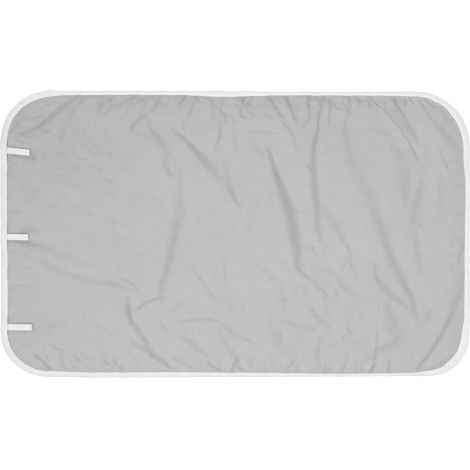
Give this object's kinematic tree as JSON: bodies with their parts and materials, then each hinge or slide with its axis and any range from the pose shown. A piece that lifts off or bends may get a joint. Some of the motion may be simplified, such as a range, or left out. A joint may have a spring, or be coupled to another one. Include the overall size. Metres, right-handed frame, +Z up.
{
  "type": "ironing pad",
  "caption": "Flat padded fabric pad with rounded corners, a bound edge and hanging loops along one end; lies on a table as a soft surface to iron on.",
  "frame": {"origin": "centre of the footprint, on the surface that the pad lies on", "axes": "+X along the pad's length, away from the end with the loops; +Y across it; +Z up, out of the face that is ironed on"},
  "size_m": [0.9, 0.55, 0.0133],
  "materials": {
    "face_cotton": "plain-woven grey cotton with a dull silvery finish",
    "back_cotton": "plain-woven grey cotton, matte",
    "wadding": "undyed needled felt wadding",
    "white_tape": "white woven cotton tape, matte",
    "sewing_thread": "white polyester sewing thread"
  },
  "bodies": {
    "pad": {"back_fabric": "back_cotton", "padding": "wadding", "face_fabric": "face_cotton", "edge_binding": "white_tape", "binding_needle_thread": "sewing_thread", "binding_bobbin_thread": "sewing_thread", "loop_tail_upper": "white_tape", "loop_tail_middle": "white_tape", "loop_tail_lower": "white_tape"},
    "upper_loop": {"hanging_loop_upper": "white_tape"},
    "middle_loop": {"hanging_loop_middle": "white_tape"},
    "lower_loop": {"hanging_loop_lower": "white_tape"}
  },
  "joints": [
    {"name": "upper_loop_fold", "type": "hinge", "parent": "pad", "child": "upper_loop", "pos_m": [-0.4372, 0.161, 0.00563], "axis": [-0.1097, -0.994, 0], "range_deg": [0, 165]},
    {"name": "middle_loop_fold", "type": "hinge", "parent": "pad", "child": "middle_loop", "pos_m": [-0.4372, -0.005, 0.00563], "axis": [-0.0175, -0.9998, 0], "range_deg": [0, 165]},
    {"name": "lower_loop_fold", "type": "hinge", "parent": "pad", "child": "lower_loop", "pos_m": [-0.4372, -0.178, 0.00563], "axis": [0, -1, 0], "range_deg": [0, 165]}
  ]
}
